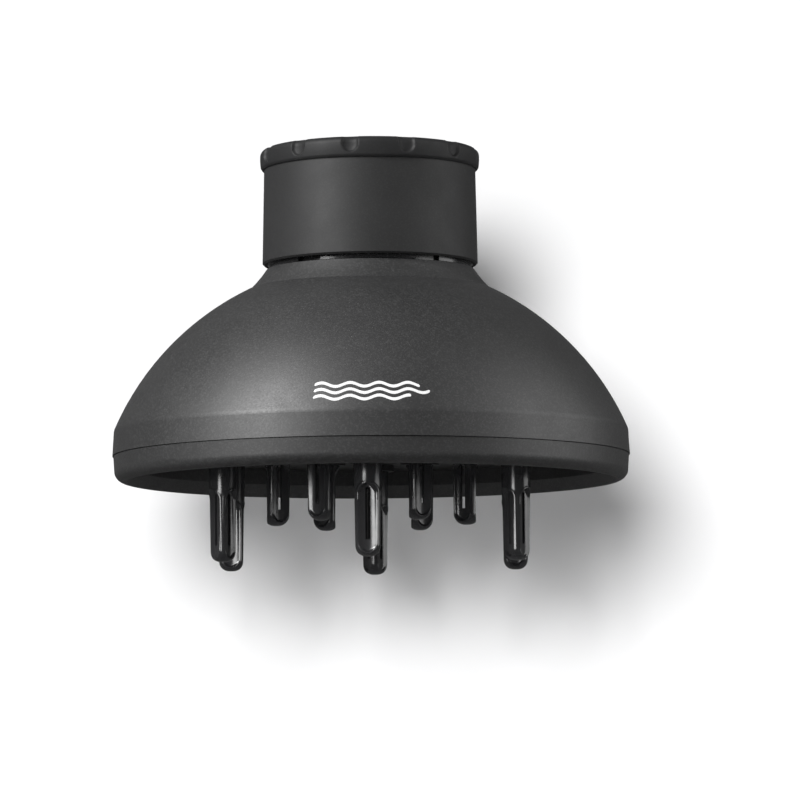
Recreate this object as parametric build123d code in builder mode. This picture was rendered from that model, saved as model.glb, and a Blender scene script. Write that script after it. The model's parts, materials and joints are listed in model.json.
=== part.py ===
from math import cos, radians, sin
import os

from build123d import *

# Hair dryer diffuser: a wide bowl with hollow fingers, and a turning collar whose five jaws
# close on the dryer's nozzle. Millimetres, +Z up; the long fingers' tips lie in Z = 0.

# --- heights ---
finger_reach = 27.7  # long fingers' tips below the rim
short_reach = 14.4
rim_ring_height = 8.4
skirt_height = 8.3
dome_rise = 46.9
neck_rise = 6.3

# --- bowl ---
rim_radius = 85.0
skirt_draft = 0.5
dome_bulge = 6.0  # how far the dome's arc stands off its chord
neck_flare = 5.2
neck_waist = 0.15  # how far the neck's outline is drawn in
shell_wall = 2.2
skirt_softness = 4.0
kink_softness = 0.6
edge_softness = 0.4
seam_bevel = 0.25
gusset_count = 6
gusset_width = 2.0
gusset_reach = 7.0
gusset_height = 10.0

# --- rim ring ---
seam_step = 0.3
rim_corner = 3.5
rim_flat = 0.8
bevel_width = 2.6
bevel_height = 4.2
channel_sill = 0.6
tongue_wall = 1.5
tongue_height = 5.0
bead = 0.5
bead_inset = 0.1

# --- plate ---
plate_lift = 0.9  # the plate's underside above the seam
plate_thickness = 2.0
seat_width = 1.8
collar_wall = 1.8
collar_height = 2.0
air_hole_radius = 2.1
centre_hole_radius = 3.0
hole_bevel = 0.35

# --- fingers ---
finger_count = 6
finger_margin = 23.0  # from the rim ring's inner wall to the outer fingers
short_circle = 31.3
finger_tip_radius = 4.2
finger_draft = 0.0135
finger_corner = 3.5
finger_flange = 1.6
flange_thickness = 1.4
flute_count = 3
flute_width = 6.5
flute_floor = 2.35
flute_hollow = 8.0
flute_end_gap = 0.5
long_flute_height = 22.6
short_flute_height = 20.6
slit_width = 1.5
slit_end_gap = 5.3
slit_top_gap = 1.3
core_radius = 1.65
core_sill = 0.6

# --- jaws and their pads ---
jaw_count = 5
jaw_start = -90.0
jaw_travel = 5.0
nozzle_radius = 27.5
pad_thickness = 1.4
pad_angle = 34.0
pad_top_margin = 0.6
pad_corner = 2.6
jaw_wall = 1.8
jaw_angle = 36.0
jaw_headroom = 0.6
jaw_corner = 3.0
jaw_room = 1.0
stud_radius = 1.0
stud_margin = 2.0
foot_margin = 0.8
foot_width = 8.0
foot_thickness = 1.8
foot_length = 6.8
stem_width = 5.0
stem_length = 4.8
rail_wall = 1.5
rail_lip = 1.2
button_radius = 1.5
button_heights = (6.0, 17.0)

# --- collar ---
show_gap = 1.6  # the gap that shows under the sleeve
sleeve_height = 31.5
sleeve_wall = 2.2
sleeve_top_wall = 1.6
sleeve_edge = 0.6
neck_step = 1.3
band_height = 6.7
band_overhang = 1.3
band_undercut = 0.5
band_foot_height = 0.8
band_crown = 1.7
mouth_room = 1.5
mouth_round = 1.2
plug_wall = 1.5
plug_depth = 2.5
band_floor = 0.9
scoop_count = 12
scoop_start = 21.0
scoop_radius = 3.0
scoop_depth = 1.2

# --- scroll ring, carrier and screws ---
collar_turn = 60.0
slot_overrun = 4.0
scroll_thickness = 2.1
scroll_web = 2.3
flange_reach = 0.55
flange_rim = 0.8
window_angle = 16.0
window_depth = 1.5
window_start = 18.0
key_angle = 10.0
key_play = 1.0
key_height = 3.0
key_reach = 1.1
carrier_thickness = 2.0
spigot_wall = 1.8
boss_inset = 1.2
boss_radius = 2.6
boss_height = 8.0
screw_radius = 1.1
screw_head_radius = 2.0
screw_head_height = 1.4
screw_length = 7.0
recess_length = 2.6
recess_width = 0.5

# --- fits ---
slide_gap = 0.3
press_gap = 0.05
snap_gap = 0.1

# heights that follow, from the long fingers' tips upward
rim_height = finger_reach
short_tip_height = rim_height - short_reach
seam_height = rim_height + rim_ring_height
skirt_top_height = seam_height + skirt_height
kink_height = skirt_top_height + dome_rise
neck_height = kink_height + neck_rise
plate_bottom = seam_height + plate_lift
plate_top = plate_bottom + plate_thickness
scroll_bottom = neck_height + slide_gap
scroll_top = scroll_bottom + scroll_thickness
flange_bottom = scroll_top - flange_rim
key_top = scroll_top + key_height
sleeve_bottom = neck_height + show_gap
sleeve_top = sleeve_bottom + sleeve_height
band_top = sleeve_top + band_height
carrier_bottom = scroll_top + slide_gap
carrier_top = carrier_bottom + carrier_thickness
foot_bottom = carrier_top + slide_gap
foot_top = foot_bottom + foot_thickness
lip_bottom = foot_top + slide_gap
lip_top = lip_bottom + rail_lip
jaw_bottom = lip_top + slide_gap
jaw_top = sleeve_top - band_floor - jaw_headroom

# radii that follow, from the nozzle outward
pad_outer = nozzle_radius + pad_thickness
jaw_inner = pad_outer + press_gap
jaw_outer = jaw_inner + jaw_wall
mouth_radius = nozzle_radius + mouth_room
plug_inner = jaw_outer + jaw_room
plug_outer = plug_inner + plug_wall
sleeve_bore = plug_outer + press_gap
sleeve_bottom_radius = sleeve_bore + sleeve_wall
sleeve_top_radius = sleeve_bore + sleeve_top_wall
band_radius = sleeve_top_radius + band_overhang
scroll_radius = sleeve_bore - slide_gap
scroll_flange = sleeve_bore + flange_reach
key_radius = sleeve_bore + key_reach
carrier_radius = sleeve_bore - slide_gap
stud_circle = carrier_radius - stud_margin
foot_outer = carrier_radius - foot_margin
slot_half = stud_radius + slide_gap
spigot_radius = stud_circle - jaw_travel - slot_half - scroll_web
throat_radius = spigot_radius - spigot_wall
boss_circle = throat_radius - boss_inset
neck_radius = sleeve_bottom_radius - neck_step
kink_radius = neck_radius + neck_flare

# radii that follow, from the rim inward
skirt_top_radius = rim_radius - skirt_draft
skirt_bore = skirt_top_radius - shell_wall
tongue_outer = skirt_bore - snap_gap
tongue_inner = tongue_outer - tongue_wall
plate_radius = tongue_inner - slide_gap
ring_outer = rim_radius - seam_step
ring_inner = ring_outer - rim_corner - rim_flat - bevel_width
long_circle = ring_inner - finger_margin

# rings of air holes: between, inside and outside the two circles of fingers
air_rings = (
    (short_circle - 19.8, 6),
    (short_circle - 11.3, 12),
    ((short_circle + long_circle) / 2, 24),
    (long_circle + 12.2, 36),
)

key_start = window_start + 180 / jaw_count
screw_start = jaw_start + 180 / jaw_count
up = Vector(0, 0, 1)
bottom = (Align.CENTER, Align.CENTER, Align.MIN)
top = (Align.CENTER, Align.CENTER, Align.MAX)


def radial(angle):
    """Unit vector pointing outward at an angle."""
    return Vector(cos(radians(angle)), sin(radians(angle)), 0)


def section_plane(angle, foot=Vector(0, 0, 0)):
    """Upright plane through a foot point: local X points outward, local Y points up."""
    outward = radial(angle)
    return Plane(origin=foot, x_dir=outward, z_dir=outward.cross(up))


def finish(name, piece):
    """Label a finished piece and write its file."""
    piece.part.label = name
    export_step(piece.part, f"parts/{name}.step")


def sectors(inner, outer, span, middles):
    """Sketch of ring sectors, each centred on one of the given angles."""
    with BuildSketch() as sketch:
        for middle in middles:
            first, last = radial(middle - span / 2), radial(middle + span / 2)
            with BuildLine():
                Line(first * inner, first * outer)
                ThreePointArc(first * outer, radial(middle) * outer, last * outer)
                Line(last * outer, last * inner)
                ThreePointArc(last * inner, radial(middle) * inner, first * inner)
            make_face()
    return sketch.sketch


def five_from(start):
    """Five equally spaced angles."""
    return [start + index * 360 / jaw_count for index in range(jaw_count)]


def dome_outline(inset):
    """Closed half-section of the bowl, drawn in by a wall thickness."""
    skirt = Vector(skirt_top_radius, skirt_top_height)
    kink = Vector(kink_radius, kink_height)
    chord = kink - skirt
    outward = Vector(chord.Y, -chord.X).normalized()
    crest = (skirt + kink) * 0.5 + outward * dome_bulge
    centre = ThreePointArc(skirt, crest, kink).arc_center

    def inward(point):
        return point - (point - centre).normalized() * inset

    neck = Vector(neck_radius - inset, neck_height - inset)
    waist = (inward(kink) + neck) * 0.5 - Vector(neck_waist, neck_waist)
    floor = Vector(rim_radius if inset == 0 else skirt_bore, seam_height)
    with BuildSketch(Plane.XZ) as half:
        with BuildLine():
            Line(floor, inward(skirt))
            ThreePointArc(inward(skirt), inward(crest), inward(kink))
            ThreePointArc(inward(kink), waist, neck)
            Polyline(neck, (0, neck.Y), (0, seam_height), floor)
        make_face()
        if inset == 0:
            corners = half.vertices()
            fillet(corners.sort_by_distance(skirt)[0], skirt_softness)
            fillet(corners.sort_by_distance(kink)[0], kink_softness)
            fillet(corners.sort_by_distance(neck)[0], edge_softness)
            chamfer(corners.sort_by_distance(floor)[0], seam_bevel)
    return half.sketch


def make_dome_shell():
    inside = revolve(dome_outline(shell_wall), Axis.Z)
    with BuildPart() as ribs:
        for step in range(gusset_count):
            with BuildSketch(section_plane(step * 360 / gusset_count)):
                with BuildLine():
                    Polyline(
                        (plate_radius - gusset_reach, plate_top + press_gap),
                        (plate_radius, plate_top + press_gap),
                        (plate_radius, seam_height + tongue_height + slide_gap),
                        (rim_radius, seam_height + tongue_height + slide_gap),
                        (rim_radius, plate_top + gusset_height),
                        (plate_radius - gusset_reach, plate_top + gusset_height),
                        close=True,
                    )
                make_face()
            extrude(amount=gusset_width / 2, both=True)
        add(inside, mode=Mode.INTERSECT)
    with BuildPart() as dome_shell:
        add(revolve(dome_outline(0), Axis.Z))
        add(inside, mode=Mode.SUBTRACT)
        add(ribs.part)
        # groove for the rim ring's snap bead
        with BuildSketch(Plane.XZ):
            with Locations((skirt_bore, seam_height + tongue_height / 2)):
                Circle(bead + snap_gap)
        revolve(axis=Axis.Z, mode=Mode.SUBTRACT)
        # spigot that carries the jaw carrier, and its screw bosses
        with Locations((0, 0, neck_height - shell_wall)):
            Cylinder(spigot_radius, carrier_bottom - neck_height + shell_wall, align=bottom)
            Cylinder(throat_radius, carrier_bottom, align=bottom, mode=Mode.SUBTRACT)
        with Locations((0, 0, carrier_bottom)):
            with PolarLocations(boss_circle, jaw_count, start_angle=screw_start):
                Cylinder(boss_radius, boss_height, align=top)
                Cylinder(screw_radius - press_gap, boss_height, align=top, mode=Mode.SUBTRACT)
    finish("dome_shell", dome_shell)


def make_rim_ring():
    corner_top = rim_height + rim_corner
    flat_outer = ring_outer - rim_corner
    flat_inner = flat_outer - rim_flat
    bevel_top = rim_height + bevel_height
    seat_outer = ring_inner + seat_width
    channel_floor = bevel_top + channel_sill
    with BuildPart() as rim_ring:
        with BuildSketch(Plane.XZ) as section:
            with BuildLine():
                Line((ring_outer, seam_height), (ring_outer - seam_step, corner_top))
                RadiusArc(
                    (ring_outer - seam_step, corner_top), (flat_outer, rim_height), rim_corner
                )
                Polyline(
                    (flat_outer, rim_height),
                    (flat_inner, rim_height),
                    (ring_inner, bevel_top),
                    (ring_inner, plate_bottom),
                    (seat_outer, plate_bottom),
                    (seat_outer, channel_floor),
                    (tongue_inner, channel_floor),
                    (tongue_inner, seam_height + tongue_height),
                    (tongue_outer, seam_height + tongue_height),
                    (tongue_outer, seam_height),
                    (ring_outer, seam_height),
                )
            make_face()
            corners = section.vertices()
            chamfer(corners.sort_by_distance((ring_outer, seam_height))[0], seam_bevel)
            fillet(corners.sort_by_distance((flat_inner, rim_height))[0], edge_softness)
            fillet(corners.sort_by_distance((ring_inner, bevel_top))[0], edge_softness)
            with Locations((tongue_outer - bead_inset, seam_height + tongue_height / 2)):
                Circle(bead)
        revolve(axis=Axis.Z)
    finish("rim_ring", rim_ring)


def finger_radius(height):
    """Outer radius of a finger at a height above its own tip."""
    return finger_tip_radius + finger_draft * height


def finger_places():
    """Name, angle, circle, tip height and flute height of every finger."""
    for index in range(finger_count):
        turn = index * 360 / finger_count
        yield f"long_prong_{index + 1}", turn - 90, long_circle, 0.0, long_flute_height
        yield f"short_prong_{index + 1}", turn - 60, short_circle, short_tip_height, short_flute_height


def flute_cutter(middle, across, outward, height):
    """Stadium-shaped scoop with a hollow floor, facing outward."""
    with BuildPart() as cutter:
        with BuildSketch(Plane(origin=middle, x_dir=up, z_dir=outward)):
            SlotOverall(height, flute_width)
        extrude(amount=2 * finger_tip_radius)
        with BuildSketch(Plane(origin=middle + outward * (flute_floor + flute_hollow))):
            Circle(flute_hollow)
        extrude(amount=height, both=True, mode=Mode.INTERSECT)
    return cutter.part


def make_finger(name, angle, circle, tip, flute_height):
    foot = radial(angle) * circle + up * tip
    axis = Axis(foot, up)
    root = plate_top - tip
    stalk = finger_radius(root)
    flange = stalk + finger_flange
    slit_height = flute_end_gap + flute_height - slit_end_gap - slit_top_gap
    with BuildPart() as finger:
        with BuildSketch(section_plane(angle, foot)):
            with BuildLine():
                Line((0, 0), (finger_tip_radius - finger_corner, 0))
                RadiusArc(
                    (finger_tip_radius - finger_corner, 0),
                    (finger_tip_radius, finger_corner),
                    -finger_corner,
                )
                Polyline(
                    (finger_tip_radius, finger_corner),
                    (stalk, root),
                    (flange, root),
                    (flange, root + flange_thickness),
                    (0, root + flange_thickness),
                    (0, 0),
                )
            make_face()
        revolve(axis=axis)
        for step in range(flute_count):
            side = angle + step * 360 / flute_count
            outward = radial(side)
            across = up.cross(outward)
            middle = foot + up * (flute_end_gap + flute_height / 2)
            add(flute_cutter(middle, across, outward, flute_height), mode=Mode.SUBTRACT)
            slit_middle = foot + up * (slit_end_gap + slit_height / 2)
            with BuildSketch(Plane(origin=slit_middle, x_dir=across, z_dir=outward)):
                Rectangle(slit_width, slit_height)
            extrude(amount=2 * finger_tip_radius, mode=Mode.SUBTRACT)
        with BuildSketch(Plane(origin=foot + up * (slit_end_gap - core_sill))):
            Circle(core_radius)
        extrude(amount=plate_top + flange_thickness, mode=Mode.SUBTRACT)
    finish(name, finger)


def make_prong_plate():
    with BuildPart() as prong_plate:
        with BuildSketch(Plane.XY.offset(plate_bottom)):
            Circle(plate_radius)
            Circle(centre_hole_radius, mode=Mode.SUBTRACT)
            for circle, count in air_rings:
                with PolarLocations(circle, count, start_angle=180 / count):
                    Circle(air_hole_radius, mode=Mode.SUBTRACT)
        extrude(amount=plate_thickness)
        rims = prong_plate.edges().filter_by(GeomType.CIRCLE).group_by(Axis.Z)[0]
        chamfer(rims.filter_by(lambda edge: edge.radius < 2 * centre_hole_radius), hole_bevel)
        for _, angle, circle, tip, _ in finger_places():
            stalk = finger_radius(plate_top - tip) + press_gap
            centre = radial(angle) * circle
            with Locations(centre + up * plate_top):
                height = plate_thickness + collar_height
                Cylinder(stalk + collar_wall, height, align=top)
                Cylinder(stalk, height, align=top, mode=Mode.SUBTRACT)
    finish("prong_plate", prong_plate)


def make_grip_sleeve():
    with BuildPart() as grip_sleeve:
        with BuildSketch(Plane.XZ):
            with BuildLine():
                Polyline(
                    (scroll_flange + press_gap, sleeve_bottom),
                    (sleeve_bottom_radius - sleeve_edge, sleeve_bottom),
                    (sleeve_bottom_radius, sleeve_bottom + sleeve_edge),
                    (sleeve_top_radius, sleeve_top),
                    (sleeve_bore, sleeve_top),
                    (sleeve_bore, scroll_top),
                    (scroll_flange + press_gap, scroll_top),
                    close=True,
                )
            make_face()
        revolve(axis=Axis.Z)
        # slots for the scroll ring's keys
        keys = five_from(key_start)
        with BuildSketch(Plane.XY.offset(sleeve_bottom)):
            add(sectors(sleeve_bore - slide_gap, key_radius + press_gap, key_angle + key_play, keys))
        extrude(amount=key_top - sleeve_bottom + press_gap, mode=Mode.SUBTRACT)
    finish("grip_sleeve", grip_sleeve)


def make_grip_band():
    with BuildPart() as grip_band:
        with BuildSketch(Plane.XZ):
            with BuildLine():
                Polyline(
                    (plug_inner, sleeve_top - plug_depth),
                    (plug_outer, sleeve_top - plug_depth),
                    (plug_outer, sleeve_top),
                    (band_radius - band_undercut, sleeve_top),
                    (band_radius, sleeve_top + band_foot_height),
                    (band_radius, band_top - band_crown),
                )
                RadiusArc(
                    (band_radius, band_top - band_crown), (band_radius - band_crown, band_top), -band_crown
                )
                Line((band_radius - band_crown, band_top), (mouth_radius + mouth_round, band_top))
                RadiusArc(
                    (mouth_radius + mouth_round, band_top), (mouth_radius, band_top - mouth_round), -mouth_round
                )
                Polyline(
                    (mouth_radius, band_top - mouth_round),
                    (mouth_radius, sleeve_top - band_floor),
                    (plug_inner, sleeve_top - band_floor),
                    (plug_inner, sleeve_top - plug_depth),
                )
            make_face()
        revolve(axis=Axis.Z)
        # thumb scoops round the outside
        with BuildSketch(Plane.XY.offset(sleeve_top)):
            circle = band_radius - scoop_depth + scoop_radius
            with PolarLocations(circle, scoop_count, start_angle=scoop_start):
                Circle(scoop_radius)
        extrude(amount=band_height, mode=Mode.SUBTRACT)
    finish("grip_band", grip_band)


def stud_place(angle, turn, shift=0.0):
    """Where the scroll's slot lies for a jaw at an angle, a given turn of the collar away."""
    distance = stud_circle - jaw_travel * turn / collar_turn + shift
    return radial(angle - turn) * distance


def make_scroll_ring():
    with BuildPart() as scroll_ring:
        with Locations((0, 0, scroll_bottom)):
            Cylinder(scroll_radius, scroll_thickness, align=bottom)
        with Locations((0, 0, flange_bottom)):
            Cylinder(scroll_flange, flange_rim, align=bottom)
        with BuildSketch(Plane.XY.offset(flange_bottom)):
            add(sectors(sleeve_bore, key_radius, key_angle, five_from(key_start)))
        extrude(amount=key_top - flange_bottom)
        with BuildSketch(Plane.XY.offset(scroll_bottom)):
            Circle(spigot_radius + slide_gap)
            for angle in five_from(jaw_start):
                first, last = -slot_overrun, collar_turn + slot_overrun
                with BuildLine():
                    outer = [stud_place(angle, turn, slot_half) for turn in (first, collar_turn / 2, last)]
                    inner = [stud_place(angle, turn, -slot_half) for turn in (last, collar_turn / 2, first)]
                    ThreePointArc(*outer)
                    Line(outer[2], inner[0])
                    ThreePointArc(*inner)
                    Line(inner[2], outer[0])
                make_face()
        extrude(amount=scroll_thickness, mode=Mode.SUBTRACT)
        # windows round the rim, below the flange
        with BuildSketch(Plane.XY.offset(scroll_bottom)):
            add(sectors(scroll_radius - window_depth, scroll_flange, window_angle, five_from(window_start)))
        extrude(amount=scroll_thickness - flange_rim, mode=Mode.SUBTRACT)
    finish("scroll_ring", scroll_ring)


def make_jaw_carrier():
    rail_inner = foot_width / 2 + slide_gap
    rail_outer = rail_inner + rail_wall
    with BuildPart() as rails:
        for angle in five_from(jaw_start):
            heading = Plane(origin=up * carrier_top, x_dir=radial(angle), z_dir=up)
            with BuildSketch(heading):
                with Locations((carrier_radius / 2 + spigot_radius / 2, 0)):
                    Rectangle(carrier_radius - spigot_radius, 2 * rail_outer)
            extrude(amount=lip_top - carrier_top)
            with BuildSketch(heading):
                with Locations((carrier_radius / 2 + spigot_radius / 2, 0)):
                    Rectangle(carrier_radius, 2 * rail_inner)
            extrude(amount=lip_bottom - carrier_top, mode=Mode.SUBTRACT)
            with BuildSketch(heading):
                with Locations((carrier_radius / 2 + spigot_radius / 2, 0)):
                    Rectangle(carrier_radius, stem_width + 2 * slide_gap)
            extrude(amount=lip_top - carrier_top, mode=Mode.SUBTRACT)
    with BuildPart() as jaw_carrier:
        with Locations((0, 0, carrier_bottom)):
            Cylinder(carrier_radius, lip_top - carrier_bottom, align=bottom)
        add(rails.part, mode=Mode.INTERSECT)
        with Locations((0, 0, carrier_bottom)):
            Cylinder(carrier_radius, carrier_thickness, align=bottom)
            Cylinder(throat_radius, carrier_thickness, align=bottom, mode=Mode.SUBTRACT)
            with PolarLocations(boss_circle, jaw_count, start_angle=screw_start):
                Cylinder(boss_radius, carrier_thickness, align=bottom)
                Cylinder(screw_radius + press_gap, carrier_thickness, align=bottom, mode=Mode.SUBTRACT)
        # open-ended slots that the jaws' studs slide in
        for angle in five_from(jaw_start):
            inner = stud_circle - jaw_travel - slot_half
            with BuildSketch(Plane(origin=up * carrier_bottom, x_dir=radial(angle), z_dir=up)):
                with Locations(((inner + sleeve_bore) / 2, 0)):
                    Rectangle(sleeve_bore - inner, 2 * slot_half)
            extrude(amount=carrier_thickness, mode=Mode.SUBTRACT)
    finish("jaw_carrier", jaw_carrier)


def make_carrier_screws():
    with BuildPart() as carrier_screws:
        with Locations((0, 0, carrier_top)):
            with PolarLocations(boss_circle, jaw_count, start_angle=screw_start):
                Cylinder(screw_head_radius, screw_head_height, align=bottom)
        heads = carrier_screws.faces().sort_by(Axis.Z)[-jaw_count:]
        fillet(heads.edges(), screw_head_height / 3)
        with Locations((0, 0, carrier_top)):
            with PolarLocations(boss_circle, jaw_count, start_angle=screw_start):
                Cylinder(screw_radius - 2 * press_gap, screw_length, align=top)
        with Locations((0, 0, carrier_top + screw_head_height)):
            with PolarLocations(boss_circle, jaw_count, start_angle=screw_start):
                Box(recess_length, recess_width, screw_head_height, mode=Mode.SUBTRACT)
                Box(recess_width, recess_length, screw_head_height, mode=Mode.SUBTRACT)
    finish("carrier_screws", carrier_screws)


def make_jaw(number):
    angle = jaw_start + (number - 1) * 360 / jaw_count
    outward = radial(angle)
    foot_plane = Plane(origin=up * foot_bottom, x_dir=outward, z_dir=up)
    with BuildPart() as jaw:
        with BuildSketch(Plane.XY.offset(jaw_bottom)):
            add(sectors(jaw_inner, jaw_outer, jaw_angle, [angle]))
        extrude(amount=jaw_top - jaw_bottom)
        tips = jaw.edges().filter_by(lambda edge: edge.length < jaw_wall + press_gap).group_by(Axis.Z)[-1]
        fillet(tips, jaw_corner)
        with BuildSketch(foot_plane):
            with Locations((foot_outer - foot_length / 2, 0)):
                Rectangle(foot_length, foot_width)
        extrude(amount=foot_thickness)
        with BuildSketch(foot_plane):
            with Locations((foot_outer - stem_length / 2, 0)):
                Rectangle(stem_length, stem_width)
        extrude(amount=jaw_bottom - foot_bottom + jaw_wall / 2)
        with BuildSketch(Plane(origin=outward * stud_circle + up * foot_bottom)):
            Circle(stud_radius)
        extrude(amount=scroll_bottom + slide_gap - foot_bottom)
        for height in button_heights:
            with BuildSketch(Plane(origin=up * (jaw_bottom + height), x_dir=up, z_dir=outward)):
                Circle(button_radius + press_gap)
            extrude(amount=jaw_outer + 1, mode=Mode.SUBTRACT)
        # the nozzle's seat stays clear above the stem
        with BuildSketch(Plane.XY.offset(jaw_bottom + jaw_wall / 2)):
            Circle(jaw_inner)
        extrude(amount=jaw_top - jaw_bottom, mode=Mode.SUBTRACT)
    finish(f"jaw_{number}", jaw)


def make_jaw_pad(number):
    angle = jaw_start + (number - 1) * 360 / jaw_count
    outward = radial(angle)
    low = jaw_bottom + jaw_wall
    with BuildPart() as pad:
        with BuildSketch(Plane.XY.offset(low)):
            add(sectors(nozzle_radius, pad_outer, pad_angle, [angle]))
        extrude(amount=jaw_top - pad_top_margin - low)
        short = pad.edges().filter_by(lambda edge: edge.length < pad_thickness + press_gap)
        tips = short.group_by(Axis.Z)[-1]
        fillet(tips, pad_corner)
        for height in button_heights:
            start = up * (jaw_bottom + height) + outward * (pad_outer - pad_thickness / 2)
            with BuildSketch(Plane(origin=start, x_dir=up, z_dir=outward)):
                Circle(button_radius)
            extrude(amount=jaw_outer - pad_outer + pad_thickness / 2 - press_gap)
    finish(f"jaw_pad_{number}", pad)


os.makedirs("parts", exist_ok=True)
make_dome_shell()
make_rim_ring()
make_prong_plate()
for place in finger_places():
    make_finger(*place)
make_grip_sleeve()
make_grip_band()
make_scroll_ring()
make_jaw_carrier()
make_carrier_screws()
for number in range(1, jaw_count + 1):
    make_jaw(number)
    make_jaw_pad(number)
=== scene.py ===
import json
import math

import bmesh
import bpy
import numpy as np
from mathutils import Matrix, Vector

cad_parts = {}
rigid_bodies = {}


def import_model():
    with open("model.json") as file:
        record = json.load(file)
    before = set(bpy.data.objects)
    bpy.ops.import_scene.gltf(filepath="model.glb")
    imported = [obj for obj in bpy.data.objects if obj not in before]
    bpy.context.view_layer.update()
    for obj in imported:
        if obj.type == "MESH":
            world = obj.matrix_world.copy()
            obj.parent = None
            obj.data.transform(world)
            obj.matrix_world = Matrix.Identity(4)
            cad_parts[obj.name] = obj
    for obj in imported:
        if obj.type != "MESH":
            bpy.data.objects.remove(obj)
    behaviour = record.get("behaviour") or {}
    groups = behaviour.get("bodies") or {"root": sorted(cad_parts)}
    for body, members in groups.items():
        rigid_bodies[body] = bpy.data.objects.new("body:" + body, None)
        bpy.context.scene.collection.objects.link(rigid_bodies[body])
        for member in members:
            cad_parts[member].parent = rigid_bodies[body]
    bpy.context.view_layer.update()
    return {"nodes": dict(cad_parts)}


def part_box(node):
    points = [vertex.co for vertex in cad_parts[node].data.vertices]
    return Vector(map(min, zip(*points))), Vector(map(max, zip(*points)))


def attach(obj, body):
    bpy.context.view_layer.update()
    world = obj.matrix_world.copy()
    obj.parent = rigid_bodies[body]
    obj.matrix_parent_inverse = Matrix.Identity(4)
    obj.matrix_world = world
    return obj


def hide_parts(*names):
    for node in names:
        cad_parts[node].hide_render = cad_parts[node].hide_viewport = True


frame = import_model()
print("frame loaded:", len(frame["nodes"]), "nodes")

mm = 0.001


def placeObject(name, data):
    thing = bpy.data.objects.new(name, data)
    bpy.context.scene.collection.objects.link(thing)
    return thing


def meshFrom(name, points, faces):
    mesh = bpy.data.meshes.new(name)
    mesh.from_pydata(points, [], faces)
    return mesh


cameraSettings = {
    "distance": 1.623,        # from the bowl's axis
    "height": -0.090,         # below the fingertips, so the rim is seen from underneath
    "swing": 1.18,            # degrees round the axis, towards +X
    "pan": 0.338,             # degrees, leaves the part left of centre
    "tilt": 5.09,             # degrees upward
    "roll": 0.34,             # degrees
    "lens": 222.8,
    "sensor": 36,
    "nearest": 0.01,
}


def placeCamera(settings):
    swing = math.radians(settings["swing"])
    spot = Vector((math.sin(swing), -math.cos(swing), 0)) * settings["distance"]
    spot.z = settings["height"]
    data = bpy.data.cameras.new("benchCamera")
    data.lens = settings["lens"]
    data.sensor_width = settings["sensor"]
    data.clip_start = settings["nearest"]
    camera = placeObject("benchCamera", data)
    turn = Matrix.Rotation(swing - math.radians(settings["pan"]), 4, "Z")
    tilt = Matrix.Rotation(math.radians(90 + settings["tilt"]), 4, "X")
    roll = Matrix.Rotation(math.radians(-settings["roll"]), 4, "Z")
    camera.matrix_world = Matrix.Translation(spot) @ turn @ tilt @ roll
    bpy.context.scene.camera = camera
    print("camera placed")


# shader node groups, each built once and shared by the materials

def startGroup(name, inputs, outputs):
    group = bpy.data.node_groups.new(name, "ShaderNodeTree")
    for label, value in inputs.items():
        socket = group.interface.new_socket(label, in_out="INPUT", socket_type="NodeSocketFloat")
        socket.default_value = value
    for label in outputs:
        group.interface.new_socket(label, in_out="OUTPUT", socket_type="NodeSocketFloat")
    return group, group.nodes.new("NodeGroupInput"), group.nodes.new("NodeGroupOutput")


def noiseNode(tree, scale, detail, vector, roughness=0.5):
    node = tree.nodes.new("ShaderNodeTexNoise")
    node.inputs["Detail"].default_value = detail
    node.inputs["Roughness"].default_value = roughness
    if isinstance(scale, (int, float)):
        node.inputs["Scale"].default_value = scale
    else:
        tree.links.new(scale, node.inputs["Scale"])
    tree.links.new(vector, node.inputs["Vector"])
    return node.outputs["Fac"]


def mapRange(tree, value, low, high, toLow=0.0, toHigh=1.0):
    node = tree.nodes.new("ShaderNodeMapRange")
    for label, number in (("From Min", low), ("From Max", high), ("To Min", toLow), ("To Max", toHigh)):
        node.inputs[label].default_value = number
    tree.links.new(value, node.inputs["Value"])
    return node.outputs["Result"]


def mathNode(tree, operation, first, second):
    node = tree.nodes.new("ShaderNodeMath")
    node.operation = operation
    for socket, value in zip(node.inputs, (first, second)):
        if isinstance(value, (int, float)):
            socket.default_value = value
        else:
            tree.links.new(value, socket)
    return node.outputs["Value"]


def buildGrainGroup():
    # fine moulded grain with scattered brighter flecks
    sizes = {"Grain Size": 2600.0, "Fleck Size": 1500.0}
    group, enter, leave = startGroup("mouldedGrain", sizes, ("Grain", "Fleck"))
    place = group.nodes.new("ShaderNodeTexCoord").outputs["Object"]
    grain = noiseNode(group, enter.outputs["Grain Size"], 3.0, place, 0.65)
    cells = group.nodes.new("ShaderNodeTexVoronoi")
    group.links.new(place, cells.inputs["Vector"])
    group.links.new(enter.outputs["Fleck Size"], cells.inputs["Scale"])
    spread = group.nodes.new("ShaderNodeSeparateColor")
    group.links.new(cells.outputs["Color"], spread.inputs["Color"])
    group.links.new(grain, leave.inputs["Grain"])
    group.links.new(mapRange(group, spread.outputs["Red"], 0.55, 1.0), leave.inputs["Fleck"])
    return group


def buildHandlingGroup():
    # faint smudges and cloudy patches left by hands and by the mould
    sizes = {"Patch Size": 26.0, "Smear Size": 90.0}
    group, enter, leave = startGroup("handlingMarks", sizes, ("Patch", "Smear"))
    place = group.nodes.new("ShaderNodeTexCoord").outputs["Object"]
    patch = noiseNode(group, enter.outputs["Patch Size"], 3.0, place)
    smear = noiseNode(group, enter.outputs["Smear Size"], 5.0, place, 0.6)
    group.links.new(mapRange(group, patch, 0.3, 0.7), leave.inputs["Patch"])
    group.links.new(mapRange(group, smear, 0.35, 0.65), leave.inputs["Smear"])
    return group


grainGroup = buildGrainGroup()
handlingGroup = buildHandlingGroup()
print("shader groups built")


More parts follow.
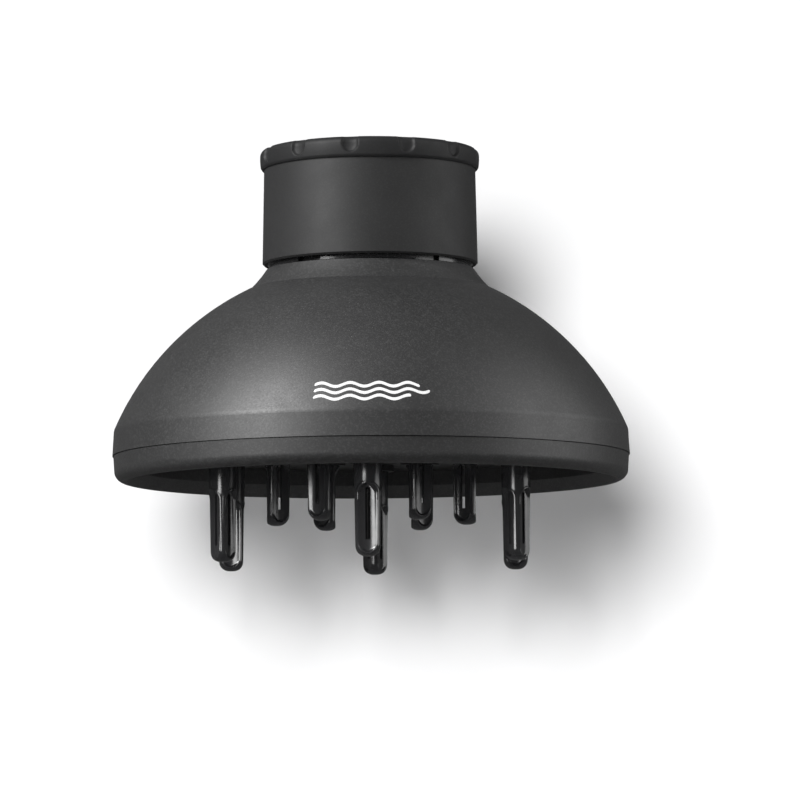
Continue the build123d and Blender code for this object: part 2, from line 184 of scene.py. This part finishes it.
def placeGroup(tree, group, values):
    node = tree.nodes.new("ShaderNodeGroup")
    node.node_tree = group
    for label, value in values.items():
        node.inputs[label].default_value = value
    return node


def mixColour(tree, factor, first, second):
    node = tree.nodes.new("ShaderNodeMix")
    node.data_type = "RGBA"
    sockets = (node.inputs["Factor"], node.inputs[6], node.inputs[7])
    for socket, value in zip(sockets, (factor, first, second)):
        if isinstance(value, (int, float)):
            socket.default_value = value
        elif isinstance(value, tuple):
            socket.default_value = (*value, 1.0)
        else:
            tree.links.new(value, socket)
    return node.outputs[2]


def startMaterial(name):
    material = bpy.data.materials.new(name)
    material.use_nodes = True
    return material, material.node_tree, material.node_tree.nodes["Principled BSDF"]


def addBump(tree, shader, height, look):
    bump = tree.nodes.new("ShaderNodeBump")
    bump.inputs["Strength"].default_value = look["bump"]
    bump.inputs["Distance"].default_value = look["bumpDepth"]
    tree.links.new(height, bump.inputs["Height"])
    tree.links.new(bump.outputs["Normal"], shader.inputs["Normal"])


def placeMarks(tree, look):
    sizes = {"Patch Size": look["patchSize"], "Smear Size": look["smearSize"]}
    return placeGroup(tree, handlingGroup, sizes)


def makePlastic(name, look):
    # one moulded finish: cloudy colour, grain in bump and roughness, flecks where the finish has them
    material, tree, shader = startMaterial(name)
    grain = placeGroup(tree, grainGroup, {"Grain Size": look["grainSize"], "Fleck Size": look["fleckSize"]})
    marks = placeMarks(tree, look)
    cloudy = mixColour(tree, marks.outputs["Patch"], look["dark"], look["light"])
    fleckAmount = mathNode(tree, "MULTIPLY", grain.outputs["Fleck"], look["fleck"])
    colour = mixColour(tree, fleckAmount, cloudy, look["fleckColour"])
    grainAmount = mathNode(tree, "MULTIPLY", grain.outputs["Grain"], look["mottle"])
    colour = mixColour(tree, grainAmount, colour, look["mottleColour"])
    tree.links.new(colour, shader.inputs["Base Color"])
    base = mapRange(tree, marks.outputs["Smear"], 0.0, 1.0, *look["rough"])
    wobble = mapRange(tree, grain.outputs["Grain"], 0.3, 0.7, -look["roughGrain"], look["roughGrain"])
    tree.links.new(mathNode(tree, "ADD", base, wobble), shader.inputs["Roughness"])
    addBump(tree, shader, grain.outputs["Grain"], look)
    shader.inputs["Specular IOR Level"].default_value = look["specular"]
    if "sheen" in look:
        shader.inputs["Sheen Weight"].default_value = look["sheen"]
        shader.inputs["Sheen Roughness"].default_value = look["sheenRough"]
    return material


softTouchLook = {
    "dark": (0.014, 0.014, 0.0143), "light": (0.018, 0.018, 0.0183),
    "fleck": 0.18, "fleckColour": (0.12, 0.12, 0.12), "fleckSize": 2400.0,
    "mottle": 0.25, "mottleColour": (0.012, 0.012, 0.012),
    "grainSize": 1500.0, "patchSize": 22.0, "smearSize": 70.0,
    "rough": (0.49, 0.54), "roughGrain": 0.05, "bump": 0.5, "bumpDepth": 0.00005,
    "specular": 0.72,
}
satinLook = {
    "dark": (0.014, 0.014, 0.0143), "light": (0.018, 0.018, 0.0183),
    "fleck": 0.05, "fleckColour": (0.11, 0.11, 0.11), "fleckSize": 2600.0,
    "mottle": 0.15, "mottleColour": (0.02, 0.02, 0.02),
    "grainSize": 2600.0, "patchSize": 30.0, "smearSize": 90.0,
    "rough": (0.56, 0.62), "roughGrain": 0.03, "bump": 0.25, "bumpDepth": 0.00003,
    "specular": 0.33,
}
rubberLook = {
    "dark": (0.014, 0.014, 0.0145), "light": (0.018, 0.018, 0.0185),
    "fleck": 0.04, "fleckColour": (0.08, 0.08, 0.08), "fleckSize": 2200.0,
    "mottle": 0.2, "mottleColour": (0.012, 0.012, 0.012),
    "grainSize": 2200.0, "patchSize": 40.0, "smearSize": 110.0,
    "rough": (0.52, 0.60), "roughGrain": 0.04, "bump": 0.3, "bumpDepth": 0.00004,
    "specular": 0.20,
}
polishedLook = {
    "dark": (0.014, 0.014, 0.015), "light": (0.018, 0.018, 0.019),
    "fleck": 0.0, "fleckColour": (0.02, 0.02, 0.02), "fleckSize": 900.0,
    "mottle": 0.1, "mottleColour": (0.006, 0.006, 0.006),
    "grainSize": 700.0, "patchSize": 60.0, "smearSize": 260.0,
    "rough": (0.15, 0.23), "roughGrain": 0.03, "bump": 0.10, "bumpDepth": 0.00001,
    "specular": 0.55,
}
mouldedLook = {
    "dark": (0.008, 0.008, 0.0085), "light": (0.012, 0.012, 0.0125),
    "fleck": 0.03, "fleckColour": (0.05, 0.05, 0.05), "fleckSize": 1800.0,
    "mottle": 0.2, "mottleColour": (0.008, 0.008, 0.008),
    "grainSize": 1800.0, "patchSize": 30.0, "smearSize": 80.0,
    "rough": (0.44, 0.56), "roughGrain": 0.04, "bump": 0.3, "bumpDepth": 0.00005,
    "specular": 0.5,
}
printLook = {
    "dark": (0.62, 0.62, 0.62), "light": (0.76, 0.76, 0.76),
    "fleck": 0.10, "fleckColour": (0.35, 0.35, 0.35), "fleckSize": 2600.0,
    "mottle": 0.12, "mottleColour": (0.40, 0.40, 0.40),
    "grainSize": 1500.0, "patchSize": 60.0, "smearSize": 200.0,
    "rough": (0.50, 0.60), "roughGrain": 0.04, "bump": 0.3, "bumpDepth": 0.00004,
    "specular": 0.4,
}
glossLook = {
    "dark": (0.010, 0.010, 0.011), "light": (0.014, 0.014, 0.015),
    "fleck": 0.0, "fleckColour": (0.02, 0.02, 0.02), "fleckSize": 900.0,
    "mottle": 0.1, "mottleColour": (0.006, 0.006, 0.006),
    "grainSize": 700.0, "patchSize": 60.0, "smearSize": 260.0,
    "rough": (0.20, 0.30), "roughGrain": 0.03, "bump": 0.15, "bumpDepth": 0.00003,
    "specular": 0.5,
}
siliconeLook = {
    "dark": (0.030, 0.030, 0.032), "light": (0.042, 0.042, 0.044),
    "fleck": 0.02, "fleckColour": (0.08, 0.08, 0.08), "fleckSize": 1800.0,
    "mottle": 0.2, "mottleColour": (0.018, 0.018, 0.018),
    "grainSize": 1600.0, "patchSize": 60.0, "smearSize": 160.0,
    "rough": (0.60, 0.72), "roughGrain": 0.04, "bump": 0.35, "bumpDepth": 0.00005,
    "specular": 0.4, "sheen": 0.15, "sheenRough": 0.4,
}
zincLook = {
    "dark": (0.42, 0.42, 0.43), "light": (0.60, 0.60, 0.58),
    "patchSize": 300.0, "smearSize": 900.0,
    "rough": (0.22, 0.38), "bump": 0.2, "bumpDepth": 0.00003,
}


def makeZinc(name, look):
    # bright plating, patchy in colour and finely roughened
    material, tree, shader = startMaterial(name)
    marks = placeMarks(tree, look)
    colour = mixColour(tree, marks.outputs["Patch"], look["dark"], look["light"])
    tree.links.new(colour, shader.inputs["Base Color"])
    shader.inputs["Metallic"].default_value = 1.0
    rough = mapRange(tree, marks.outputs["Smear"], 0.0, 1.0, *look["rough"])
    tree.links.new(rough, shader.inputs["Roughness"])
    addBump(tree, shader, marks.outputs["Smear"], look)
    return material


finishes = {
    "softTouch": makePlastic("softTouchCharcoal", softTouchLook),
    "satin": makePlastic("satinCharcoal", satinLook),
    "rubber": makePlastic("gripRubber", rubberLook),
    "polished": makePlastic("polishedBlack", polishedLook),
    "gloss": makePlastic("glossBlack", glossLook),
    "print": makePlastic("palePrint", printLook),
    "moulded": makePlastic("mouldedBlack", mouldedLook),
    "silicone": makePlastic("padSilicone", siliconeLook),
    "zinc": makeZinc("zincPlate", zincLook),
}
print("materials built")


def dress(thing, finish):
    thing.data.materials.clear()
    thing.data.materials.append(finishes[finish])


def addPiece(name, mesh, finish, body, node):
    # a finished mesh becomes a piece that rides on a body in place of its CAD node
    piece = placeObject(name, mesh)
    dress(piece, finish)
    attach(piece, body)
    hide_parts(node)
    return piece


def smoothEdges(mesh, degrees):
    mesh.shade_smooth()
    mesh.set_sharp_from_angle(angle=math.radians(degrees))


def lathe(rows, columns, shape):
    # vertices and faces of a closed turned form: shape(row, angles) gives radius and height arrays
    angles = np.arange(columns) * 2 * math.pi / columns
    points = []
    for row in rows:
        radius, height = shape(row, angles)
        points.append(np.stack([radius * np.cos(angles), radius * np.sin(angles), height], 1))
    count = len(rows)
    faces = []
    for r in range(count - 1):
        for c in range(columns):
            n = (c + 1) % columns
            faces.append((r * columns + c, r * columns + n, (r + 1) * columns + n, (r + 1) * columns + c))
    return np.concatenate(points), faces


def softMax(value, softness):
    # positive part of a value with a rounded knee
    return 0.5 * (value + np.sqrt(value * value + softness * softness)) - 0.5 * softness


def arcPoints(centre, radius, start, end, steps):
    spread = [math.radians(start + (end - start) * i / steps) for i in range(steps + 1)]
    return [(centre[0] + radius * math.cos(a), centre[1] + radius * math.sin(a)) for a in spread]


# hollow fingers

fingerSettings = {
    "count": 6,                # in each of the two rings
    "firstTurn": {"long": -90, "short": -60},    # degrees round the bowl's axis
    "columns": 132,
    "rowPitch": 0.28 * mm,
    "tipRadius": 4.2 * mm,
    "draft": 0.0135,
    "corner": 3.5 * mm,
    "flangeWidth": 1.6 * mm,
    "flangeDepth": 1.4 * mm,
    "flangeEdge": 0.3 * mm,
    "hub": 0.3 * mm,           # radius of the face that closes the flange's top
    "flutes": 3,               # the first faces away from the bowl's axis
    "fluteWidth": 6.5 * mm,
    "fluteFloor": 2.35 * mm,
    "hollow": 8.0 * mm,
    "fluteEnd": 0.5 * mm,
    "fluteRunOut": 0.8 * mm,   # fine rows go on this far above a flute
    "wallRun": 0.45 * mm,      # how far the steep end of a flute takes to reach its floor
    "endSlope": 0.4,           # the flute comes up gently towards the tip
    "edgeSoftness": 0.16 * mm,
    "lip": (0.11 * mm, 0.30 * mm),   # height and width of the slight lip round a flute
    "slitWidth": 1.5 * mm,
    "slitEnd": 5.3 * mm,
    "slitTop": 1.3 * mm,
    "core": 1.65 * mm,
    "coreSill": 0.6 * mm,
    "coreSides": 32,
    "flute": {"long": 22.6 * mm, "short": 20.6 * mm},
    "sharpAngle": 38,
}


def fingerOutline(settings, length, fluteHeight):
    # radius and height of the finger's outside, from its tip to the top of its flange
    tip, corner = settings["tipRadius"], settings["corner"]
    flat = tip - corner
    rows = [(flat * share, 0.0) for share in (0.02, 0.5, 1.0)]
    rows += arcPoints((flat, corner), corner, -90, 0, 26)[1:]
    seat = length - settings["flangeDepth"]
    stalk = tip + settings["draft"] * seat
    fluted = settings["fluteEnd"] + fluteHeight + settings["fluteRunOut"]
    steps = int((fluted - corner) / settings["rowPitch"])
    heights = [corner + (fluted - corner) * (i + 1) / steps for i in range(steps)]
    heights += [fluted + (seat - fluted) * (i + 1) / 8 for i in range(8)]
    slope = (stalk - tip) / (seat - corner)
    rows += [(tip + slope * (h - corner), h) for h in heights]
    wide = stalk + settings["flangeWidth"]
    soft = settings["flangeEdge"]
    rows += arcPoints((wide - soft, seat + soft), soft, -90, 0, 4)
    rows += arcPoints((wide - soft, length - soft), soft, 0, 90, 4)
    rows.append((settings["hub"], length))
    return rows


def fluteDepth(settings, fluteHeight, radius, height, angles):
    # how far the three flutes cut into a round section of the finger
    step = 2 * math.pi / settings["flutes"]
    turn = (angles + step / 2) % step - step / 2
    centre = settings["fluteFloor"] + settings["hollow"]
    across = radius * np.sin(turn)
    under = settings["hollow"] ** 2 - (centre * np.sin(turn)) ** 2
    floor = np.where(under > 0, centre * np.cos(turn) - np.sqrt(np.maximum(under, 0)), 1.0)
    half = settings["fluteWidth"] / 2
    low = settings["fluteEnd"] + half
    high = settings["fluteEnd"] + fluteHeight - half
    beyond = height - min(max(height, low), high)
    inset = half - np.sqrt(across * across + beyond * beyond)
    run = settings["wallRun"] + settings["endSlope"] * max(low - height, 0)
    share = np.clip(inset / run, 0, 1)
    share = share * share * (3 - 2 * share)
    depth = np.where(under > 0, softMax(radius - floor, settings["edgeSoftness"]) * share, 0.0)
    lipHeight, lipWidth = settings["lip"]
    lipHeight *= min(height / settings["corner"], 1) ** 2
    lip = lipHeight * np.exp(-((inset + lipWidth) / lipWidth) ** 2)
    return depth - np.where(np.cos(turn) > 0.5, lip, 0.0)


def cutAway(mesh, cutter):
    # the mesh with another closed mesh cut out of it
    body = placeObject("cutBody", mesh)
    tool = placeObject("cutTool", cutter)
    change = body.modifiers.new("cut", "BOOLEAN")
    change.operation = "DIFFERENCE"
    change.solver = "EXACT"
    change.object = tool
    bpy.context.view_layer.update()
    depsgraph = bpy.context.evaluated_depsgraph_get()
    result = bpy.data.meshes.new_from_object(body.evaluated_get(depsgraph))
    for thing in (body, tool):
        bpy.data.objects.remove(thing)
    return result


def makePrism(outline, low, high):
    mesh = bpy.data.meshes.new("prism")
    build = bmesh.new()
    base = build.faces.new([build.verts.new((x, y, low)) for x, y in outline])
    lifted = bmesh.ops.extrude_face_region(build, geom=[base])
    moved = [item for item in lifted["geom"] if isinstance(item, bmesh.types.BMVert)]
    bmesh.ops.translate(build, verts=moved, vec=(0, 0, high - low))
    bmesh.ops.recalc_face_normals(build, faces=build.faces)
    build.to_mesh(mesh)
    build.free()
    return mesh


def slitStar(settings):
    # outline of the three slits, joined at the finger's axis
    half = settings["slitWidth"] / 2
    reach = 2 * settings["tipRadius"]
    flutes = settings["flutes"]
    inner = half / math.sin(math.pi / flutes)
    outline = []
    for index in range(flutes):
        turn = index * 2 * math.pi / flutes
        along = Vector((math.cos(turn), math.sin(turn)))
        side = Vector((-along.y, along.x))
        outline += [along * reach - side * half, along * reach + side * half]
        notch = turn + math.pi / flutes
        outline.append(Vector((math.cos(notch), math.sin(notch))) * inner)
    return [tuple(point) for point in outline]


def makeFingerMesh(settings, kind, length):
    fluteHeight = settings["flute"][kind]
    rows = fingerOutline(settings, length, fluteHeight)

    def shape(row, angles):
        radius, height = row
        depth = fluteDepth(settings, fluteHeight, radius, height, angles)
        return radius - depth, np.full_like(angles, height)

    columns, last = settings["columns"], len(rows) - 1
    points, faces = lathe(rows, columns, shape)
    faces.append(tuple(reversed(range(columns))))
    faces.append(tuple(last * columns + c for c in range(columns)))
    mesh = meshFrom(kind + "Finger", points.tolist(), faces)
    sides = settings["coreSides"]
    bore = [(settings["core"] * math.cos(a), settings["core"] * math.sin(a))
            for a in np.arange(sides) * 2 * math.pi / sides]
    sill = settings["slitEnd"] - settings["coreSill"]
    mesh = cutAway(mesh, makePrism(bore, sill, length + 1 * mm))
    slitHigh = settings["fluteEnd"] + fluteHeight - settings["slitTop"]
    mesh = cutAway(mesh, makePrism(slitStar(settings), settings["slitEnd"], slitHigh))
    smoothEdges(mesh, settings["sharpAngle"])
    return mesh


def placeFingers(settings):
    for kind, firstTurn in settings["firstTurn"].items():
        low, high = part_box(kind + "_prong_1")
        master = makeFingerMesh(settings, kind, high.z - low.z)
        for index in range(settings["count"]):
            node = f"{kind}_prong_{index + 1}"
            low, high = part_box(node)
            middle = (low + high) / 2
            turn = math.radians(index * 360 / settings["count"] + firstTurn)
            circle = math.hypot(middle.x, middle.y)
            spot = Vector((math.cos(turn) * circle, math.sin(turn) * circle, low.z))
            mesh = master.copy()
            mesh.transform(Matrix.Translation(spot) @ Matrix.Rotation(turn, 4, "Z"))
            addPiece(f"{kind}Finger{index + 1}", mesh, "polished", "bowl", node)
    print("fingers made")


# grip band

bandSettings = {
    "columns": 840,
    "foot": 0.35 * mm,         # how far the foot stands inside the crown
    "footHeight": 0.8 * mm,
    "footEdge": 0.3 * mm,
    "bulge": 0.35 * mm,
    "bulgeSteps": 30,
    "crown": 2.2 * mm,         # rounding of the top edge
    "mouth": 29.0 * mm,
    "mouthRound": 1.2 * mm,
    "plug": (31.75 * mm, 33.25 * mm),
    "plugDepth": 2.5 * mm,
    "floorWall": 0.9 * mm,
    "ledge": 0.2 * mm,         # the floor's underside stands this far outside the mouth
    "scoops": 12,
    "scoopStart": 21.0,
    "scoopWidth": 5.6 * mm,
    "scoopDepth": 1.3 * mm,
    "scoopBottom": 1.3 * mm,   # above the foot
    "scoopCrispness": 5,       # how abruptly a scoop's edge begins
    "fadeFrom": 3.6 * mm,      # the scoops fade out this far inside the band's reach
    "fadeRun": 3.0 * mm,
    "sharpAngle": 40,
}


def bandOutline(settings, low, high, reach):
    # closed section of the band, from the plug's inner foot round the outside and back through the mouth
    inner, outer = settings["plug"]
    sleeveTop = low + settings["plugDepth"]
    side = reach - settings["bulge"]
    foot = reach - settings["foot"] - settings["bulge"] / 2
    crown, edge = settings["crown"], settings["footEdge"]
    points = [(inner, low), (outer, low), (outer, sleeveTop)]
    points += [(foot - edge, sleeveTop), (foot, sleeveTop + edge)]
    start = sleeveTop + settings["footHeight"]
    top = high - crown
    for i in range(settings["bulgeSteps"] + 1):
        share = i / settings["bulgeSteps"]
        rise = start + (top - start) * share
        points.append((side + settings["bulge"] * math.sin(math.pi * (0.12 + 0.5 * share)), rise))
    last = points[-1][0]
    points += [(last - crown + x, top + y) for x, y in arcPoints((0, 0), crown, 0, 90, 14)[1:]]
    lip = settings["mouthRound"]
    mouth = settings["mouth"]
    points += [(mouth + lip + x, high - lip + y) for x, y in arcPoints((0, 0), lip, 90, 180, 8)]
    underside = sleeveTop - settings["floorWall"]
    points += [(mouth, sleeveTop), (mouth + settings["ledge"], underside), (inner, underside)]
    return points


def makeBandMesh(settings):
    low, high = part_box("grip_band")
    outline = bandOutline(settings, low.z, high.z, high.x)
    step = 2 * math.pi / settings["scoops"]
    begin = math.radians(settings["scoopStart"])
    sleeveTop = low.z + settings["plugDepth"]
    half = settings["scoopWidth"] / 2
    turnPoint = sleeveTop + settings["scoopBottom"] + half

    def shape(row, angles):
        radius, height = row
        away = (angles - begin + step / 2) % step - step / 2
        reach = np.hypot(away * radius, min(height - turnPoint, 0)) / half
        edge = np.clip((1 - reach) * settings["scoopCrispness"], 0, 1) ** 0.5
        hollow = np.sqrt(np.maximum(1 - reach * reach, 0)) * edge
        inward = min(max((radius - high.x + settings["fadeFrom"]) / settings["fadeRun"], 0), 1)
        share = inward * inward * (3 - 2 * inward) if height > sleeveTop else 0
        return radius - settings["scoopDepth"] * hollow * share, np.full_like(angles, height)

    points, faces = lathe(outline + outline[:1], settings["columns"], shape)
    mesh = meshFrom("gripBand", points.tolist(), faces)
    build = bmesh.new()
    build.from_mesh(mesh)
    bmesh.ops.remove_doubles(build, verts=build.verts, dist=1e-6)
    bmesh.ops.recalc_face_normals(build, faces=build.faces)
    build.to_mesh(mesh)
    build.free()
    smoothEdges(mesh, settings["sharpAngle"])
    return mesh


# printed airflow mark, on the front of the dome

markSettings = {
    "height": 50.3 * mm,
    "width": 36.0 * mm,
    "rows": (-2.5 * mm, 0.0, 2.5 * mm),
    "inset": (6.0 * mm, 0.0, 3.0 * mm),    # how much shorter each row is at its right end
    "swell": 0.75 * mm,
    "wave": 9.0 * mm,
    "stroke": 1.15 * mm,
    "film": 0.03 * mm,
    "steps": 150,
    "across": (-1, -0.5, 0, 0.5, 1),       # points across a stroke, in half-widths
    "tip": 0.02,               # share of the stroke's width left at its very end
    "turn": -88.6,             # degrees round the bowl's axis, of the mark's middle
    "bendRadius": 80 * mm,     # a length along the mark becomes an angle at this radius
    "squeeze": 0.84,           # heights shrink by this, as the dome leans back
    "castFrom": 0.2,           # the rays at the dome start this far from the axis
}


def markStroke(settings, rise, inset):
    # centre and half-width along one wavy stroke, tapering to a round end
    start, end = -settings["width"] / 2, settings["width"] / 2 - inset
    for i in range(settings["steps"] + 1):
        along = start + (end - start) * i / settings["steps"]
        nearest = min(along - start, end - along)
        cap = settings["stroke"] / 2
        half = cap * math.sqrt(max(1 - max(1 - nearest / cap, 0) ** 2, settings["tip"] ** 2))
        yield along, rise + settings["swell"] * math.sin(2 * math.pi * along / settings["wave"]), half


def makeMark(settings):
    dome = frame["nodes"]["dome_shell"]
    back = dome.matrix_world.inverted()
    across = settings["across"]
    points, faces = [], []
    for rise, inset in zip(settings["rows"], settings["inset"]):
        first = len(points)
        for along, lift, half in markStroke(settings, rise, inset):
            turn = math.radians(settings["turn"]) + along / settings["bendRadius"]
            away = Vector((math.cos(turn), math.sin(turn), 0))
            for share in across:
                level = settings["height"] + (lift + share * half) * settings["squeeze"]
                start = back @ (away * settings["castFrom"] + Vector((0, 0, level)))
                spot, normal = dome.ray_cast(start, back.to_3x3() @ -away)[1:3]
                points.append(dome.matrix_world @ (spot + normal * settings["film"]))
        row = len(across)
        for i in range(settings["steps"]):
            for j in range(row - 1):
                base = first + i * row + j
                faces.append((base, base + row, base + row + 1, base + 1))
    mesh = meshFrom("airflowMark", points, faces)
    mesh.shade_smooth()
    piece = placeObject("airflowMark", mesh)
    dress(piece, "print")
    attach(piece, "bowl")
    print("mark made")


placeCamera(cameraSettings)
placeFingers(fingerSettings)
makeMark(markSettings)
addPiece("gripBand", makeBandMesh(bandSettings), "rubber", "collar", "grip_band")
print("grip band made")

cadFinishes = {
    "dome_shell": "softTouch", "rim_ring": "softTouch", "prong_plate": "moulded",
    "jaw_carrier": "moulded", "carrier_screws": "zinc", "grip_sleeve": "satin",
    "scroll_ring": "gloss",
}
for number in range(1, 6):
    cadFinishes[f"jaw_{number}"] = "moulded"
    cadFinishes[f"jaw_pad_{number}"] = "silicone"
for node, finish in cadFinishes.items():
    dress(frame["nodes"][node], finish)
print("CAD nodes dressed")


# stage and light

stageSettings = {
    "floor": -0.42,
    "wall": 0.16,
    "sweep": 0.2,              # radius of the bend between floor and wall
    "sweepSteps": 24,
    "width": 6.0,
    "front": -3.0,
    "top": 2.2,
    "colour": (0.65, 0.65, 0.653),
    "rough": 0.9,
    "specular": 0.1,
}
lightSettings = {
    "world": 0.115,
    "wall": {"turn": -6, "rise": 5.6, "distance": 2.8, "size": 0.72, "power": 116.0},
    "key": {"turn": -50, "rise": 31, "distance": 1.0, "size": 0.24, "tall": 0.80, "power": 17.5},
    "fill": {"turn": 84, "rise": 20, "distance": 1.1, "size": 1.2, "power": 9.5},
    "finger": {"turn": -26, "rise": 3, "distance": 0.8, "size": 0.33, "power": 3.1},
    "aim": (0, 0, 0.07),
}


def makeStage(settings):
    # pale floor that sweeps up into a wall. Seen from behind it lets the view through
    profile = [(settings["front"], settings["floor"])]
    sweep = settings["sweep"]
    centre = (settings["wall"] - sweep, settings["floor"] + sweep)
    profile += arcPoints(centre, sweep, -90, 0, settings["sweepSteps"])
    profile.append((settings["wall"], settings["top"]))
    half = settings["width"] / 2
    points = [(side * half, y, z) for y, z in profile for side in (-1, 1)]
    faces = [(2 * i, 2 * i + 1, 2 * i + 3, 2 * i + 2) for i in range(len(profile) - 1)]
    mesh = meshFrom("paperSweep", points, faces)
    mesh.shade_smooth()
    sheet = placeObject("paperSweep", mesh)
    material, tree, shader = startMaterial("palePaper")
    shader.inputs["Base Color"].default_value = (*settings["colour"], 1)
    shader.inputs["Roughness"].default_value = settings["rough"]
    shader.inputs["Specular IOR Level"].default_value = settings["specular"]
    clear = tree.nodes.new("ShaderNodeBsdfTransparent")
    mix = tree.nodes.new("ShaderNodeMixShader")
    facing = tree.nodes.new("ShaderNodeNewGeometry")
    tree.links.new(facing.outputs["Backfacing"], mix.inputs["Fac"])
    tree.links.new(shader.outputs["BSDF"], mix.inputs[1])
    tree.links.new(clear.outputs["BSDF"], mix.inputs[2])
    tree.links.new(mix.outputs["Shader"], tree.nodes["Material Output"].inputs["Surface"])
    mesh.materials.append(material)
    sheet.visible_glossy = False
    print("stage made")


def addLamp(name, settings, aim, receivers):
    turn, rise = math.radians(settings["turn"]), math.radians(settings["rise"])
    away = Vector((math.sin(turn) * math.cos(rise), -math.cos(turn) * math.cos(rise), math.sin(rise)))
    data = bpy.data.lights.new(name, "AREA")
    data.shape = "ELLIPSE"
    data.size = settings["size"]
    data.size_y = settings.get("tall", settings["size"])
    data.energy = settings["power"]
    lamp = placeObject(name, data)
    lamp.location = Vector(aim) + away * settings["distance"]
    lamp.rotation_euler = away.to_track_quat("Z", "Y").to_euler()
    lamp.light_linking.receiver_collection = receivers


def lightScene(settings):
    # one broad lamp whitens the paper and throws the shadow on it, key and fill light the part alone,
    # and a small lamp adds the fingers' highlights
    world = bpy.data.worlds.new("studio")
    world.use_nodes = True
    background = world.node_tree.nodes["Background"]
    background.inputs["Color"].default_value = (1, 1, 1, 1)
    background.inputs["Strength"].default_value = settings["world"]
    bpy.context.scene.world = world
    bpy.context.scene.view_settings.view_transform = "Standard"
    lit = {name: bpy.data.collections.new(name + "Receivers") for name in ("paper", "part", "finger")}
    for thing in bpy.context.scene.objects:
        if thing.type == "MESH":
            lit["paper" if thing.name == "paperSweep" else "part"].objects.link(thing)
            if "Finger" in thing.name:
                lit["finger"].objects.link(thing)
    for name, receivers in (("wall", "paper"), ("key", "part"), ("fill", "part"), ("finger", "finger")):
        addLamp(name + "Lamp", settings[name], settings["aim"], lit[receivers])
    print("lights placed")


makeStage(stageSettings)
lightScene(lightSettings)
